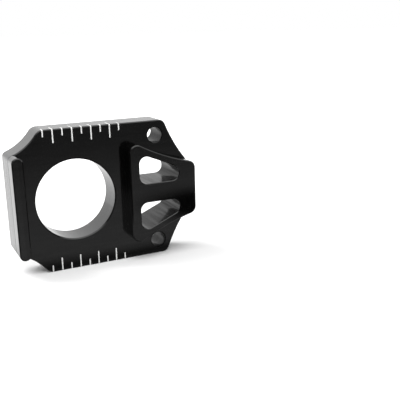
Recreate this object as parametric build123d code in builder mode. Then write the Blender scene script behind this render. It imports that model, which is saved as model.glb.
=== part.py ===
"""Chain adjuster block for a motorcycle rear axle.

One piece milled from aluminium bar. The wheel axle passes through the large bore,
the adjuster bolt of the swingarm pushes on the boss end, and the index marks on the
long edges show how far the axle has been moved.

Frame: the origin is on the bore axis at the flat back face. +X runs along the block
to the boss end, +Z is up across its height, and the stepped front face looks to -Y.
Lengths are in millimetres.
"""
import os

from build123d import *

# Bar section and overall outline
block_height = 45.0        # between the two long edges
plate_thickness = 9.5      # back face to the milled front face
step_height = 5.0          # how far boss and lip stand above the milled face
lip_end = 19.7             # bore axis to the lip end
boss_end = 39.1            # bore axis to the boss end

# Scooped corners of the outline
lip_end_flat = 30.4        # straight part of the lip end, before its corners are rounded
lip_scoop_length = 9.4     # lip end to where the scoop meets the long edge
lip_scoop_radius = 17.0
lip_width = 3.4            # the low rail along the lip end, as round at its ends as the corners
lip_shoulder_radius = 3.0  # rounding where the scoop meets the long edge
boss_end_flat = 15.0       # straight part of the boss end
boss_scoop_length = 8.7    # boss end to where the scoop meets the long edge
boss_scoop_radius = 50.0
boss_corner_radius = 0.8
boss_shoulder_radius = 2.5

# Axle bore
axle_diameter = 25.0
axle_clearance = 0.4       # on the diameter
bore_edge_break = 0.35

# Boss that takes the adjuster bolt, with sides that sweep in to the boss end
boss_start = 16.4          # bore axis to the long side of the boss
boss_from_long_edge = 4.8  # long edge to the end of that side, before its corners are rounded
boss_narrow = 17.0         # length of the side at the boss end, before its corners are rounded
boss_side_radius = 70.0
boss_rounding = 2.5

# Pair of windows through boss and plate
boss_wall = 3.1            # between the boss's long side and the wide end of a window
end_wall = 6.0             # between the narrow end and the boss end
web_width = 6.2            # solid web between the two windows
window_wide = 10.0         # window height at its wide end, before its corners are rounded
window_narrow = 4.3        # window height at its narrow end
window_corner_radius = 2.4

# Pair of through holes beside the boss
hole_diameter = 5.0
hole_from_long_edge = 4.8  # long edge to hole centre
hole_from_boss_end = 12.0  # boss end to hole centre

# Engraved index marks, which run on from the front face round the edge of each long side
mark_count = 9
mark_pitch = 3.0
marks_before_bore = 3      # marks on the lip side of the bore axis
mark_width = 0.4
mark_depth = 0.2
short_mark = 2.2
long_mark = 4.3

edge_break = 0.3           # chamfer on the rims of plate, boss and lip
small_edge_break = 0.2     # chamfer on the rims of windows and holes

# Worked out from the sizes above
half_height = block_height / 2
total_thickness = plate_thickness + step_height
bore_diameter = axle_diameter + axle_clearance
lip_scoop_start = lip_end - lip_scoop_length
boss_scoop_start = boss_end - boss_scoop_length
boss_wide = block_height - 2 * boss_from_long_edge
window_start = boss_start + boss_wall
window_end = boss_end - end_wall
window_rounding = min(window_corner_radius, 0.56 * window_narrow)  # leaves the narrow end straight
hole_position = boss_end - hole_from_boss_end
hole_spacing = block_height - 2 * hole_from_long_edge
step_base = Plane.XZ.offset(plate_thickness - edge_break)  # where the plate's broken rim starts
tolerance = 1e-4


def corners_at(sketch, x, y):
    """Corners of a sketch at this place, above and below its centre line."""
    return [
        corner
        for corner in sketch.vertices()
        if abs(corner.X - x) < tolerance and abs(abs(corner.Y) - y) < tolerance
    ]


# Outline of the bar, the same through plate, boss and lip
with BuildSketch(Plane.XZ) as outline:
    with BuildLine():
        Line((-lip_end, 0), (-lip_end, lip_end_flat / 2))
        RadiusArc((-lip_end, lip_end_flat / 2), (-lip_scoop_start, half_height), -lip_scoop_radius)
        Line((-lip_scoop_start, half_height), (boss_scoop_start, half_height))
        RadiusArc((boss_scoop_start, half_height), (boss_end, boss_end_flat / 2), -boss_scoop_radius)
        Line((boss_end, boss_end_flat / 2), (boss_end, 0))
        mirror(about=Plane.XZ)
    make_face()
    fillet(corners_at(outline.sketch_local, -lip_end, lip_end_flat / 2), lip_width / 2)
    fillet(corners_at(outline.sketch_local, -lip_scoop_start, half_height), lip_shoulder_radius)
    fillet(corners_at(outline.sketch_local, boss_scoop_start, half_height), boss_shoulder_radius)
    fillet(corners_at(outline.sketch_local, boss_end, boss_end_flat / 2), boss_corner_radius)

# Lip profile: a rail whose round ends share their centres with the corners of the lip end
corner_arcs = outline.sketch_local.edges().filter_by(GeomType.CIRCLE).group_by(Axis.X)[0]
nose_distance = abs(corner_arcs[0].arc_center.Y - corner_arcs[1].arc_center.Y)
with BuildSketch(step_base) as lip_profile:
    with Locations((lip_width / 2 - lip_end, 0)):
        SlotCenterToCenter(nose_distance, lip_width, rotation=90)

# Boss profile: a long side towards the bore, two swept sides and the boss end
with BuildSketch(step_base) as boss_profile:
    with BuildLine():
        Line((boss_start, 0), (boss_start, boss_wide / 2))
        RadiusArc((boss_start, boss_wide / 2), (boss_end, boss_narrow / 2), -boss_side_radius)
        Line((boss_end, boss_narrow / 2), (boss_end, 0))
        mirror(about=Plane.XZ)
    make_face()
    fillet(boss_profile.vertices(), boss_rounding)


def raised(profile):
    """The solid over a profile, which starts in the plate and has its front rim broken."""
    with BuildPart() as piece:
        extrude(profile.sketch, amount=step_height + edge_break)
        chamfer(piece.faces().sort_by(Axis.Y)[0].edges(), edge_break)
    return piece.part


boss = raised(boss_profile)
lip = raised(lip_profile)

# Window profile: tapers to the boss end, with the web's side parallel to the length
with BuildSketch(Plane.XZ) as windows:
    with BuildLine():
        Polyline(
            (window_start, web_width / 2),
            (window_start, web_width / 2 + window_wide),
            (window_end, web_width / 2 + window_narrow),
            (window_end, web_width / 2),
            close=True,
        )
    make_face()
    fillet(windows.vertices(), window_rounding)
    mirror(about=Plane.XZ)

# Index marks for one edge of the front face: y = 0 is the edge, and each mark ends round
with BuildSketch() as marks:
    for number in range(mark_count):
        length = long_mark if number % 2 else short_mark
        straight = length - mark_width / 2
        place = (number - marks_before_bore) * mark_pitch
        with Locations((place, 0)):
            Rectangle(mark_width, straight, align=(Align.CENTER, Align.MIN))
        with Locations((place, straight)):
            Circle(mark_width / 2)

with BuildPart() as adjuster_block:
    # Plate, with the rims of both faces broken before anything stands on it
    extrude(outline.sketch, amount=plate_thickness)
    chamfer(adjuster_block.faces().filter_by(Plane.XZ).edges(), edge_break)

    # Boss and lip stand on the front face, flush with the two ends
    add(boss)
    add(lip)

    # Bore, holes and windows, all the way through
    with BuildSketch(Plane.XZ):
        Circle(bore_diameter / 2)
        with Locations((hole_position, 0)), GridLocations(0, hole_spacing, 1, 2):
            Circle(hole_diameter / 2)
    extrude(amount=plate_thickness, mode=Mode.SUBTRACT)
    extrude(windows.sketch, amount=total_thickness, mode=Mode.SUBTRACT)

    # Rims of those openings, on every face they come out of
    flat_faces = adjuster_block.faces().filter_by(Plane.XZ)
    rims = ShapeList([edge for face in flat_faces for wire in face.inner_wires() for edge in wire.edges()])
    bore_rims = rims.filter_by(GeomType.CIRCLE).sort_by(SortBy.RADIUS)[-2:]
    chamfer(bore_rims, bore_edge_break)
    chamfer([edge for edge in rims if edge not in bore_rims], small_edge_break)

    # Index marks along both long edges, cut into the front face and into the long side
    for side in (1, -1):
        long_edge = (0, -plate_thickness, side * half_height)
        on_front_face = Plane(long_edge, x_dir=(1, 0, 0), z_dir=(0, side, 0))
        on_long_side = Plane(long_edge, x_dir=(1, 0, 0), z_dir=(0, 0, 1))
        with BuildSketch(on_front_face, on_long_side):
            add(marks.sketch)
        extrude(amount=mark_depth, both=True, mode=Mode.SUBTRACT)

adjuster_block.part.label = "adjuster_block"
os.makedirs("parts", exist_ok=True)
export_step(adjuster_block.part, "parts/adjuster_block.step")
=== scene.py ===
# %% [markdown]
# # A black anodised chain adjuster
#
# The object is a loose block from a motorcycle's rear axle. It is milled from one piece
# of aluminium bar and anodised black, and white paint fills its index grooves.
# The solid comes from CAD, so this lesson doesn't model the block again. It gives the
# block its anodised finish, models the paint in the grooves, and lights both on a white
# studio table.

# %% Load the block
import math

import bmesh
import bpy
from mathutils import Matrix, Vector


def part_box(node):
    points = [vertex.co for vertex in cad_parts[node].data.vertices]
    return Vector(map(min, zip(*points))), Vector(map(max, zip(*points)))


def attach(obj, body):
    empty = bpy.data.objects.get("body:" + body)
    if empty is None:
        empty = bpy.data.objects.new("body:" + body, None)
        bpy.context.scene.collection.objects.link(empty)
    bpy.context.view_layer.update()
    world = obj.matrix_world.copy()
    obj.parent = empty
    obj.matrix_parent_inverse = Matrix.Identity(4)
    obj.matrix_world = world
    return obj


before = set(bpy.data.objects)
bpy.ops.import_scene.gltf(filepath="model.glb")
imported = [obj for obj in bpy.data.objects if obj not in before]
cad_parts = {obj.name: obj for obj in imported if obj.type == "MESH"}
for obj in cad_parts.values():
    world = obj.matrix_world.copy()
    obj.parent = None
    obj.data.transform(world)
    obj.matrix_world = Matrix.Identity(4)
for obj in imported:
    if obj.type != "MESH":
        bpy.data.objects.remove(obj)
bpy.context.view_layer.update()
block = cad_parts["adjuster_block"]
low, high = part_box("adjuster_block")
print("block from", [round(v * 1000, 1) for v in low], "to", [round(v * 1000, 1) for v in high], "mm")

# %% [markdown]
# Lengths are easier to read in millimetres, and Blender works in metres here, so one
# factor turns the one into the other. The sizes below repeat those of the CAD model.
# The bore's axis is the Y axis, the back face lies at y = 0, and the face with the index
# marks looks to -Y.

# %% Sizes of the block that the paint and the camera need
mm = 0.001
front_face = -9.5 * mm       # the milled face that carries the index marks
long_side = 22.5 * mm        # half the height of the block
mark_width = 0.40 * mm
mark_depth = 0.2 * mm
mark_pitch = 3.0 * mm
mark_count = 9
marks_before_bore = 3        # marks on the lip side of the bore's axis
mark_places = [(number - marks_before_bore) * mark_pitch for number in range(mark_count)]
short_mark = 2.2 * mm
long_mark = 4.3 * mm


def select_only(*objects):
    """Make these the only selected objects, with the first one active."""
    bpy.ops.object.select_all(action="DESELECT")
    for item in objects:
        item.select_set(True)
    bpy.context.view_layer.objects.active = objects[0]


# %% [markdown]
# ## Camera
#
# The photograph was taken from close by with a normal lens, so the lip end looks much
# taller than the boss end. The camera's place and angle were worked out from the edges,
# the bore and the index marks. A lens of about 58 mm on a 36 mm sensor gives the same
# angle of view. The near clip has to be short, because the camera stands only 20 cm away.

# %% Camera
camera_data = bpy.data.cameras.new("studio_camera")
camera_data.lens = 57.845
camera_data.sensor_width = 36.0
camera_data.clip_start = 10 * mm
camera_data.clip_end = 50.0
camera_place = (-53.351 * mm, -199.570 * mm, 51.458 * mm)
camera_angles = (74.822, 1.0865, -27.2015)   # in degrees: up from straight down, lean, turn
camera = bpy.data.objects.new("studio_camera", camera_data)
bpy.context.scene.collection.objects.link(camera)
camera.location = camera_place
camera.rotation_euler = [math.radians(angle) for angle in camera_angles]
bpy.context.scene.camera = camera
print("camera", round(camera.location.length * 1000), "mm from the bore")

# %% [markdown]
# ## Paint in the index marks
#
# Each mark is a groove cut with a fine end mill. It starts on the front face, runs over
# the edge and goes on across the long side, and its two ends are round. White paint
# fills it almost flush. An image of white lines would do from one view only, so the paint
# is modelled as thin strips that lie in the grooves.
#
# One strip starts as a cube. It is stretched to the leg on the front face, cut near its
# outer end, and the piece beyond the cut is pulled back along the long side. Bevels then
# round the two ends and take off the corner where the block has its chamfer.

# %% One strip of paint
paint_gap = 0.03 * mm        # how far the paint lies below the metal
side_gap = 0.005 * mm        # between the paint and the walls of its groove
corner_cut = 0.28 * mm       # off the strip's corner, a little less than the block's chamfer
roundness = 0.98             # share of a tip's half width that its bevels take


def pick_faces(mesh, wanted):
    """Select the faces of an edited mesh whose centre and normal pass the test."""
    bpy.ops.mesh.select_mode(type="FACE")
    bpy.ops.mesh.select_all(action="DESELECT")
    shape = bmesh.from_edit_mesh(mesh)
    for face in shape.faces:
        if wanted(face.calc_center_median(), face.normal):
            face.select_set(True)
    bmesh.update_edit_mesh(mesh)


def pick_edges(mesh, wanted):
    """Select the edges of an edited mesh whose two ends pass the test."""
    bpy.ops.mesh.select_mode(type="EDGE")
    bpy.ops.mesh.select_all(action="DESELECT")
    shape = bmesh.from_edit_mesh(mesh)
    for edge in shape.edges:
        if wanted(edge.verts[0].co, edge.verts[1].co):
            edge.select_set(True)
    bmesh.update_edit_mesh(mesh)


def model_paint_strip(name, length):
    """A strip of paint at x = 0 on the upper long edge, with a leg of this length each way."""
    outer_y = front_face + paint_gap
    outer_z = long_side - paint_gap
    inner_y = front_face + mark_depth
    inner_z = long_side - mark_depth
    tip_y = front_face + length - side_gap
    tip_z = long_side - length + side_gap
    half_width = mark_width / 2 - side_gap
    near = 0.001 * mm

    bpy.ops.object.select_all(action="DESELECT")
    middle = (0, (outer_y + inner_y) / 2, (outer_z + tip_z) / 2)
    bpy.ops.mesh.primitive_cube_add(size=1, location=middle)
    strip = bpy.context.object
    strip.name = name
    strip.data.name = name
    strip.scale = (2 * half_width, inner_y - outer_y, outer_z - tip_z)
    bpy.ops.object.transform_apply(location=True, rotation=True, scale=True)

    bpy.ops.object.mode_set(mode="EDIT")
    bpy.ops.mesh.select_all(action="SELECT")
    bpy.ops.mesh.bisect(plane_co=(0, 0, inner_z), plane_no=(0, 0, 1), threshold=1e-7)
    pick_faces(strip.data, lambda centre, normal: normal.y > 0.9 and centre.z > inner_z)
    bpy.ops.mesh.extrude_region_move(TRANSFORM_OT_translate={"value": (0, tip_y - inner_y, 0)})

    # The cut and the pull leave lines in the flat faces that would stop the bevels
    bpy.ops.mesh.select_all(action="SELECT")
    bpy.ops.mesh.dissolve_limited(angle_limit=math.radians(1))

    # The two corner edges of each tip are bevelled until they nearly meet in a half circle
    pick_edges(
        strip.data,
        lambda a, b: abs(a.x - b.x) < near
        and ((abs(a.z - tip_z) < near and abs(b.z - tip_z) < near)
             or (abs(a.y - tip_y) < near and abs(b.y - tip_y) < near)),
    )
    bpy.ops.mesh.bevel(offset=half_width * roundness, offset_type="OFFSET", segments=5, affect="EDGES")

    # The corner over the block's chamfer
    pick_edges(
        strip.data,
        lambda a, b: abs(a.y - outer_y) < near and abs(b.y - outer_y) < near
        and abs(a.z - outer_z) < near and abs(b.z - outer_z) < near,
    )
    bpy.ops.mesh.bevel(offset=corner_cut, offset_type="OFFSET", segments=1, affect="EDGES")
    bpy.ops.object.mode_set(mode="OBJECT")
    return strip


short_strip = model_paint_strip("short_mark_paint", short_mark)
long_strip = model_paint_strip("long_mark_paint", long_mark)
print("paint strips of", len(short_strip.data.polygons), "and", len(long_strip.data.polygons), "faces")

# %% [markdown]
# The marks alternate between short and long. Each one is a copy of a strip with its own
# mesh, moved along the edge. The lower edge has the same marks, so its copies are
# mirrored in height. Mirroring turns a mesh inside out, and its normals are made to look
# outwards again. One joined piece then stands for all the paint.

# %% Copies along both long edges
def place_copy(strip, place, side):
    """A copy of a strip at this place along the upper (1) or lower (-1) long edge."""
    select_only(strip)
    bpy.ops.object.duplicate()
    copy = bpy.context.object
    copy.location.x = place
    copy.scale.z = side
    bpy.ops.object.transform_apply(location=True, rotation=True, scale=True)
    if side < 0:
        bpy.ops.object.mode_set(mode="EDIT")
        bpy.ops.mesh.select_all(action="SELECT")
        bpy.ops.mesh.normals_make_consistent(inside=False)
        bpy.ops.object.mode_set(mode="OBJECT")
    return copy


copies = []
for side in (1, -1):
    for number, place in enumerate(mark_places):
        strip = long_strip if number % 2 else short_strip
        copies.append(place_copy(strip, place, side))

select_only(short_strip, long_strip)
bpy.ops.object.delete()
select_only(*copies)
bpy.ops.object.join()
paint = bpy.context.object
paint.name = "index_mark_paint"
paint.data.name = "index_mark_paint"
select_only(paint)
bpy.ops.object.transform_apply(location=True, rotation=True, scale=True)
bpy.ops.object.origin_set(type="ORIGIN_CURSOR")
bpy.ops.object.shade_smooth_by_angle(angle=math.radians(35))
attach(paint, "root")
print("paint in", len(copies), "marks,", len(paint.data.polygons), "faces")

# %% [markdown]
# ## Anodised aluminium
#
# Anodising grows a thin glassy layer on the metal, and a dye makes it black. So the
# colour is nearly black, and what shows of the surface is mostly gloss: dark where it
# is seen face on, and bright where it is seen at a flat angle. A dark base with a clear
# coat over it gives that. The bar was etched before it was dyed, which leaves a fine
# grain, and the cutter's marks still show faintly in the gloss.

# %% Small helpers for materials
def new_material(name):
    """A material with an empty node tree, and that tree's nodes and links."""
    material = bpy.data.materials.new(name)
    material.use_nodes = True
    nodes = material.node_tree.nodes
    nodes.clear()
    return material, nodes, material.node_tree.links


def noise(nodes, links, place, scale, detail, name):
    """A noise texture at this scale, in repeats to the metre."""
    node = nodes.new("ShaderNodeTexNoise")
    node.name = node.label = name
    node.inputs["Scale"].default_value = scale
    node.inputs["Detail"].default_value = detail
    links.new(place, node.inputs["Vector"])
    return node.outputs["Fac"]


def spread(nodes, links, value, low_value, high_value, name):
    """Stretch a texture's middle range to run from the low to the high value."""
    node = nodes.new("ShaderNodeMapRange")
    node.name = node.label = name
    node.inputs["From Min"].default_value = 0.3
    node.inputs["From Max"].default_value = 0.7
    node.inputs["To Min"].default_value = low_value
    node.inputs["To Max"].default_value = high_value
    links.new(value, node.inputs["Value"])
    return node.outputs["Result"]


def calc(nodes, links, operation, *values):
    """A math node that works on sockets or plain numbers."""
    node = nodes.new("ShaderNodeMath")
    node.operation = operation
    for socket, value in zip(node.inputs, values):
        if isinstance(value, (int, float)):
            socket.default_value = value
        else:
            links.new(value, socket)
    return node.outputs[0]


def between(nodes, links, value, start, end):
    """1 where the value lies between the two limits, and 0 elsewhere."""
    above = calc(nodes, links, "GREATER_THAN", value, start)
    below = calc(nodes, links, "LESS_THAN", value, end)
    return calc(nodes, links, "MULTIPLY", above, below)


def stretched(nodes, links, place, scale, name):
    """Streaks: a noise texture whose place is scaled by another factor along each axis."""
    node = nodes.new("ShaderNodeVectorMath")
    node.operation = "MULTIPLY"
    node.inputs[1].default_value = scale
    links.new(place, node.inputs[0])
    return noise(nodes, links, node.outputs[0], scale=1, detail=3, name=name)


def split_axes(nodes, links, vector):
    """The X, Y and Z values of a vector."""
    node = nodes.new("ShaderNodeSeparateXYZ")
    links.new(vector, node.inputs["Vector"])
    return node.outputs["X"], node.outputs["Y"], node.outputs["Z"]


def distance(nodes, links, place, point):
    """How far a place is from a fixed point."""
    node = nodes.new("ShaderNodeVectorMath")
    node.operation = "DISTANCE"
    links.new(place, node.inputs[0])
    node.inputs[1].default_value = point
    return node.outputs["Value"]


def tinted(nodes, links, value, first, last, start, end):
    """A colour that goes from the first to the last while the value goes from start to end."""
    node = nodes.new("ShaderNodeValToRGB")
    for stop, position, colour in zip(node.color_ramp.elements, (start, end), (first, last)):
        stop.position = position
        stop.color = (*colour, 1)
    links.new(value, node.inputs["Fac"])
    return node.outputs["Color"]


# %% Black anodised finish
anodised, nodes, links = new_material("black_anodised")
output = nodes.new("ShaderNodeOutputMaterial")
surface = nodes.new("ShaderNodeBsdfPrincipled")
surface.inputs["IOR"].default_value = 1.5
surface.inputs["Specular IOR Level"].default_value = 0.1
surface.inputs["Coat IOR"].default_value = 1.75
surface.inputs["Coat Roughness"].default_value = 0.08
links.new(surface.outputs["BSDF"], output.inputs["Surface"])
coordinates = nodes.new("ShaderNodeTexCoord")
place = coordinates.outputs["Object"]
x, y, z = split_axes(nodes, links, place)

deep_dye = (0.0005, 0.0005, 0.0006)
pale_dye = (0.0014, 0.0013, 0.0012)
cloudy = noise(nodes, links, place, scale=90, detail=4, name="uneven dye")
dye = tinted(nodes, links, cloudy, first=deep_dye, last=pale_dye, start=0.3, end=0.7)
links.new(dye, surface.inputs["Base Color"])

# %% [markdown]
# Windows and holes were cut with thin tools that leave duller walls, so the clear coat is
# weaker there. A mask finds those walls by their place. The block is even in height, so
# the distance from its middle serves for the upper and the lower openings.

# %% Where the duller walls are
wall_depth = (-14.25 * mm, -0.25 * mm)   # between the broken rims of the two faces
window_span = (19.0 * mm, 33.6 * mm)     # just past both ends of a window
web_side = 2.8 * mm                      # just under half the web between the windows
slant_fall = 0.42                        # how steeply the slanted wall falls to the boss end
slant_height = 21.8 * mm                 # just over its height if it went on to the bore's axis
hole_place = (27.1 * mm, 0, 17.7 * mm)
hole_reach = 2.75 * mm                   # just over the radius of a hole
window_dullness = 0.62                   # against 1 for the holes, whose walls are duller

height = calc(nodes, links, "ABSOLUTE", z)
inside = between(nodes, links, y, *wall_depth)
window = calc(nodes, links, "MULTIPLY", between(nodes, links, x, *window_span), inside)
above_web = calc(nodes, links, "GREATER_THAN", height, web_side)
window = calc(nodes, links, "MULTIPLY", window, above_web)
level_of_slant = calc(nodes, links, "MULTIPLY_ADD", x, slant_fall, height)
below_slant = calc(nodes, links, "LESS_THAN", level_of_slant, slant_height)
window = calc(nodes, links, "MULTIPLY", window, below_slant)
flattened = nodes.new("ShaderNodeCombineXYZ")
links.new(x, flattened.inputs["X"])
links.new(height, flattened.inputs["Z"])
from_hole = distance(nodes, links, flattened.outputs["Vector"], hole_place)
hole = calc(nodes, links, "LESS_THAN", from_hole, hole_reach)
hole = calc(nodes, links, "MULTIPLY", hole, inside)
dull = calc(nodes, links, "MULTIPLY_ADD", window, window_dullness, hole)

# %% [markdown]
# The cutter ran along the front faces, and its side went round the outline. So the fine
# lines run lengthwise on the faces that look forward or back, and parallel to the front
# edge on the others. In the windows they run down the walls. The normal and the mask tell
# the three apart. The lines and the grain are cut into the gloss as a slight bump.

# %% Lines left by the cutter
def choose(nodes, links, factor, first, second):
    """The first value where the factor is 0, and the second where it is 1."""
    node = nodes.new("ShaderNodeMix")
    links.new(factor, node.inputs["Factor"])
    links.new(first, node.inputs["A"])
    links.new(second, node.inputs["B"])
    return node.outputs["Result"]


face_limit = 0.7                         # a normal with more Y in it belongs to a flat face
lines_round_the_side = (60, 1900, 60)    # repeats to the metre along X, Y and Z
lines_along_the_face = (90, 90, 1200)
lines_down_the_walls = (1300, 50, 1300)
base_roughness = (0.22, 0.32)            # of the dark base, from one grain to the next
line_depth = 0.004 * mm

_, facing, _ = split_axes(nodes, links, coordinates.outputs["Normal"])
flat = calc(nodes, links, "GREATER_THAN", calc(nodes, links, "ABSOLUTE", facing), face_limit)
round_the_side = stretched(nodes, links, place, lines_round_the_side, "lines round the outline")
along_the_face = stretched(nodes, links, place, lines_along_the_face, "lines along the faces")
down_the_walls = stretched(nodes, links, place, lines_down_the_walls, "lines down the walls")
lines = choose(nodes, links, flat, round_the_side, along_the_face)
lines = choose(nodes, links, window, lines, down_the_walls)
grain = noise(nodes, links, place, scale=9000, detail=3, name="etched grain")
gloss = spread(nodes, links, grain, *base_roughness, "grain in the gloss")
links.new(gloss, surface.inputs["Roughness"])
bump = nodes.new("ShaderNodeBump")
bump.inputs["Strength"].default_value = 0.25
bump.inputs["Distance"].default_value = line_depth
links.new(calc(nodes, links, "ADD", grain, lines), bump.inputs["Height"])
links.new(bump.outputs["Normal"], surface.inputs["Normal"])

# %% [markdown]
# The coat is full on the ridges between the lines and thinner in them, most of all in the
# windows. On the lip end a darker line shows where the cutter stopped at the depth of the
# step, and the strip in front of it is a little brighter.

# %% Strength of the clear coat
lip_end_side = -17.8 * mm                # all that lies beyond it is the lip end
step_line = (-9.6 * mm, -9.1 * mm)       # on both sides of the depth of the step
full_coat = 1.0
lost_where_dull = 0.66
lost_on_the_line = 0.85
gained_in_front = 0.15                   # between the line and the front of the lip
lost_in_the_lines = 0.20
more_lost_in_windows = 0.25

on_lip_end = calc(nodes, links, "LESS_THAN", x, lip_end_side)
line = calc(nodes, links, "MULTIPLY", on_lip_end, between(nodes, links, y, *step_line))
before_line = calc(nodes, links, "LESS_THAN", y, step_line[0])
in_front = calc(nodes, links, "MULTIPLY", on_lip_end, before_line)
coat = calc(nodes, links, "MULTIPLY_ADD", dull, -lost_where_dull, full_coat)
coat = calc(nodes, links, "MULTIPLY_ADD", line, -lost_on_the_line, coat)
coat = calc(nodes, links, "MULTIPLY_ADD", in_front, gained_in_front, coat)
thin = spread(nodes, links, lines, 1.0, 0.0, "thin coat in the lines")
wear = calc(nodes, links, "MULTIPLY_ADD", window, more_lost_in_windows, lost_in_the_lines)
coat = calc(nodes, links, "SUBTRACT", coat, calc(nodes, links, "MULTIPLY", thin, wear))
links.new(coat, surface.inputs["Coat Weight"])

# %% Give the block its finish
block.data.materials.clear()
block.data.materials.append(anodised)

# %% White paint
white, nodes, links = new_material("index_white")
output = nodes.new("ShaderNodeOutputMaterial")
surface = nodes.new("ShaderNodeBsdfPrincipled")
surface.inputs["Roughness"].default_value = 0.55
surface.inputs["IOR"].default_value = 1.45
links.new(surface.outputs["BSDF"], output.inputs["Surface"])
place = nodes.new("ShaderNodeTexCoord").outputs["Object"]
thin_paint = (0.66, 0.66, 0.65)
full_paint = (0.80, 0.80, 0.79)
cloudy = noise(nodes, links, place, scale=1500, detail=3, name="thin places")
tint = tinted(nodes, links, cloudy, first=thin_paint, last=full_paint, start=0.3, end=0.6)
links.new(tint, surface.inputs["Base Color"])
paint.data.materials.clear()
paint.data.materials.append(white)

# %% [markdown]
# ## Studio table and light
#
# The background of the photograph is plain white with a soft shadow at the foot of the
# block. The table is a matt white sheet. What the camera sees of it is part light and
# part glow, and there is less glow near the block, so that the sheet stays white and
# still takes the shadow. The glow is there for the camera alone and lights nothing.

# %% White table
def fade(nodes, links, value, first, last, start, end):
    """A level that fades from the first to the last while the value goes from start to end."""
    node = nodes.new("ShaderNodeMapRange")
    node.interpolation_type = "SMOOTHSTEP"
    node.inputs["From Min"].default_value = start
    node.inputs["From Max"].default_value = end
    node.inputs["To Min"].default_value = first
    node.inputs["To Max"].default_value = last
    links.new(value, node.inputs["Value"])
    return node.outputs["Result"]


def direct_view(nodes, links, path):
    """1 for the rays that look at a thing, straight or through glass, and 0 for the others."""
    rays = (path.outputs["Is Camera Ray"], path.outputs["Is Transmission Ray"])
    return calc(nodes, links, "MAXIMUM", *rays)


def blend(nodes, links, factor, first, second):
    """The first shader where the factor is 0, and the second where it is 1."""
    node = nodes.new("ShaderNodeMixShader")
    links.new(factor, node.inputs["Fac"])
    links.new(first, node.inputs[1])
    links.new(second, node.inputs[2])
    return node.outputs["Shader"]


bpy.ops.object.select_all(action="DESELECT")
bpy.ops.mesh.primitive_grid_add(x_subdivisions=8, y_subdivisions=8, size=12, location=(0, 0, low[2]))
table = bpy.context.object
table.name = "white_table"
bpy.ops.object.transform_apply(location=True, rotation=True, scale=True)

sheet, nodes, links = new_material("table_sheet")
output = nodes.new("ShaderNodeOutputMaterial")
place = nodes.new("ShaderNodeTexCoord").outputs["Object"]
matt = nodes.new("ShaderNodeBsdfDiffuse")
matt.inputs["Color"].default_value = (0.88, 0.88, 0.88, 1)
away = distance(nodes, links, place, (0, 0, 0))
path = nodes.new("ShaderNodeLightPath")
looked_at = direct_view(nodes, links, path)
glow = nodes.new("ShaderNodeEmission")
far_glow = fade(nodes, links, away, first=0.03, last=0.70, start=0.04, end=0.30)
links.new(calc(nodes, links, "MULTIPLY", far_glow, looked_at), glow.inputs["Strength"])
lit = nodes.new("ShaderNodeAddShader")
links.new(matt.outputs["BSDF"], lit.inputs[0])
links.new(glow.outputs["Emission"], lit.inputs[1])

# %% [markdown]
# A dark polished thing shows the room more than its own colour, so the reflections get a
# room of their own. Behind the block the sheet is white in them. In front it is dark,
# because the camera stands there. It is a little lighter towards the block, and darker
# again close to the block's foot, where the block's own shade is painted into the
# reflections, and left of the block. A round dark patch on the right, painted into the
# reflections, gives the boss its dark lower corner.

# %% What the block mirrors of the table
# centre of a dark patch painted into the reflections, on the right of the block
dark_spot = (0.070, -0.068, low[2])
slope_of_side = 0.2          # how far the dark side's border turns away from the Y axis

x, y, _ = split_axes(nodes, links, place)
across = calc(nodes, links, "MULTIPLY_ADD", y, slope_of_side, x)
front = fade(nodes, links, y, first=0.11, last=0.29, start=-0.25, end=-0.02)
# painted shade: the block's own shade at its foot, as the reflections show it
foot = fade(nodes, links, y, first=1.0, last=0.12, start=-0.025, end=-0.011)
aside = fade(nodes, links, across, first=0.1, last=1.0, start=-0.042, end=-0.024)
from_spot = distance(nodes, links, place, dark_spot)
spot = fade(nodes, links, from_spot, first=0.0, last=1.0, start=0.013, end=0.036)
for shade in (foot, aside, spot):
    front = calc(nodes, links, "MULTIPLY", front, shade)
behind = fade(nodes, links, y, first=0.0, last=1.08, start=-0.02, end=0.03)
mirrored = nodes.new("ShaderNodeEmission")
links.new(calc(nodes, links, "MAXIMUM", front, behind), mirrored.inputs["Strength"])

glossy_ray = path.outputs["Is Glossy Ray"]
seen_as = blend(nodes, links, glossy_ray, lit.outputs["Shader"], mirrored.outputs["Emission"])
links.new(seen_as, output.inputs["Surface"])
table.data.materials.append(sheet)

# %% [markdown]
# Above the table the room goes on in the same way: white for the camera, and in the
# reflections dark in front, pale behind and bright overhead, where the broken edges of
# the boss and the windows pick it up. A plain even level lights the matt surfaces.

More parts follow.
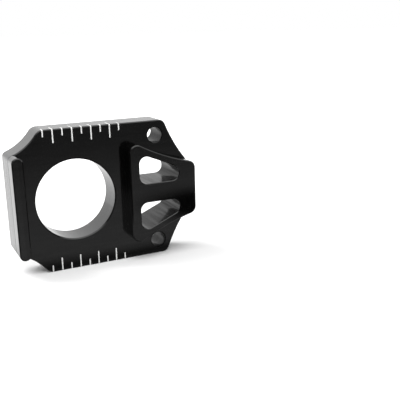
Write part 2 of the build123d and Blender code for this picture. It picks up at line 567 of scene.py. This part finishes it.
# %% Room
room = bpy.data.worlds.new("studio_room")
bpy.context.scene.world = room
room.use_nodes = True
nodes, links = room.node_tree.nodes, room.node_tree.links
nodes.clear()
output = nodes.new("ShaderNodeOutputWorld")
direction = nodes.new("ShaderNodeTexCoord").outputs["Generated"]
_, y, z = split_axes(nodes, links, direction)
around = fade(nodes, links, y, first=0.05, last=0.86, start=-0.5, end=0.3)
overhead = fade(nodes, links, z, first=0.0, last=1.3, start=0.5, end=0.9)
backdrop = nodes.new("ShaderNodeBackground")
mirrored = nodes.new("ShaderNodeBackground")
fill = nodes.new("ShaderNodeBackground")
fill.inputs["Strength"].default_value = 0.52
links.new(calc(nodes, links, "MAXIMUM", around, overhead), mirrored.inputs["Strength"])
for shader in (backdrop, mirrored, fill):
    shader.inputs["Color"].default_value = (1, 1, 1, 1)
path = nodes.new("ShaderNodeLightPath")
glossy_ray = path.outputs["Is Glossy Ray"]
lighting, mirror_image = fill.outputs["Background"], mirrored.outputs["Background"]
unseen = blend(nodes, links, glossy_ray, lighting, mirror_image)
looked_at = direct_view(nodes, links, path)
seen_as = blend(nodes, links, looked_at, unseen, backdrop.outputs["Background"])
links.new(seen_as, output.inputs["Surface"])

# %% [markdown]
# Two soft lamps give the table its light and the block its shadow. They stay out of the
# reflections, where their outlines would break up the plain walls.

# %% Lamps
lamps_face = Vector((8 * mm, -8 * mm, 0))   # a point near the middle of the block


def softbox(name, location, size, power):
    """A square lamp of this size that faces the block."""
    data = bpy.data.lights.new(name, "AREA")
    data.shape = "SQUARE"
    data.size = size
    data.energy = power
    lamp = bpy.data.objects.new(name, data)
    bpy.context.scene.collection.objects.link(lamp)
    lamp.location = location
    lamp.rotation_euler = (lamps_face - Vector(location)).to_track_quat("-Z", "Y").to_euler()
    lamp.visible_camera = False
    lamp.visible_glossy = False


softbox("key_softbox", location=(-0.12, -0.32, 0.66), size=0.60, power=4.5)
softbox("rear_softbox", location=(-0.30, 0.25, 0.50), size=0.40, power=4.0)

# %% Plain view transform
bpy.context.scene.view_settings.view_transform = "Standard"
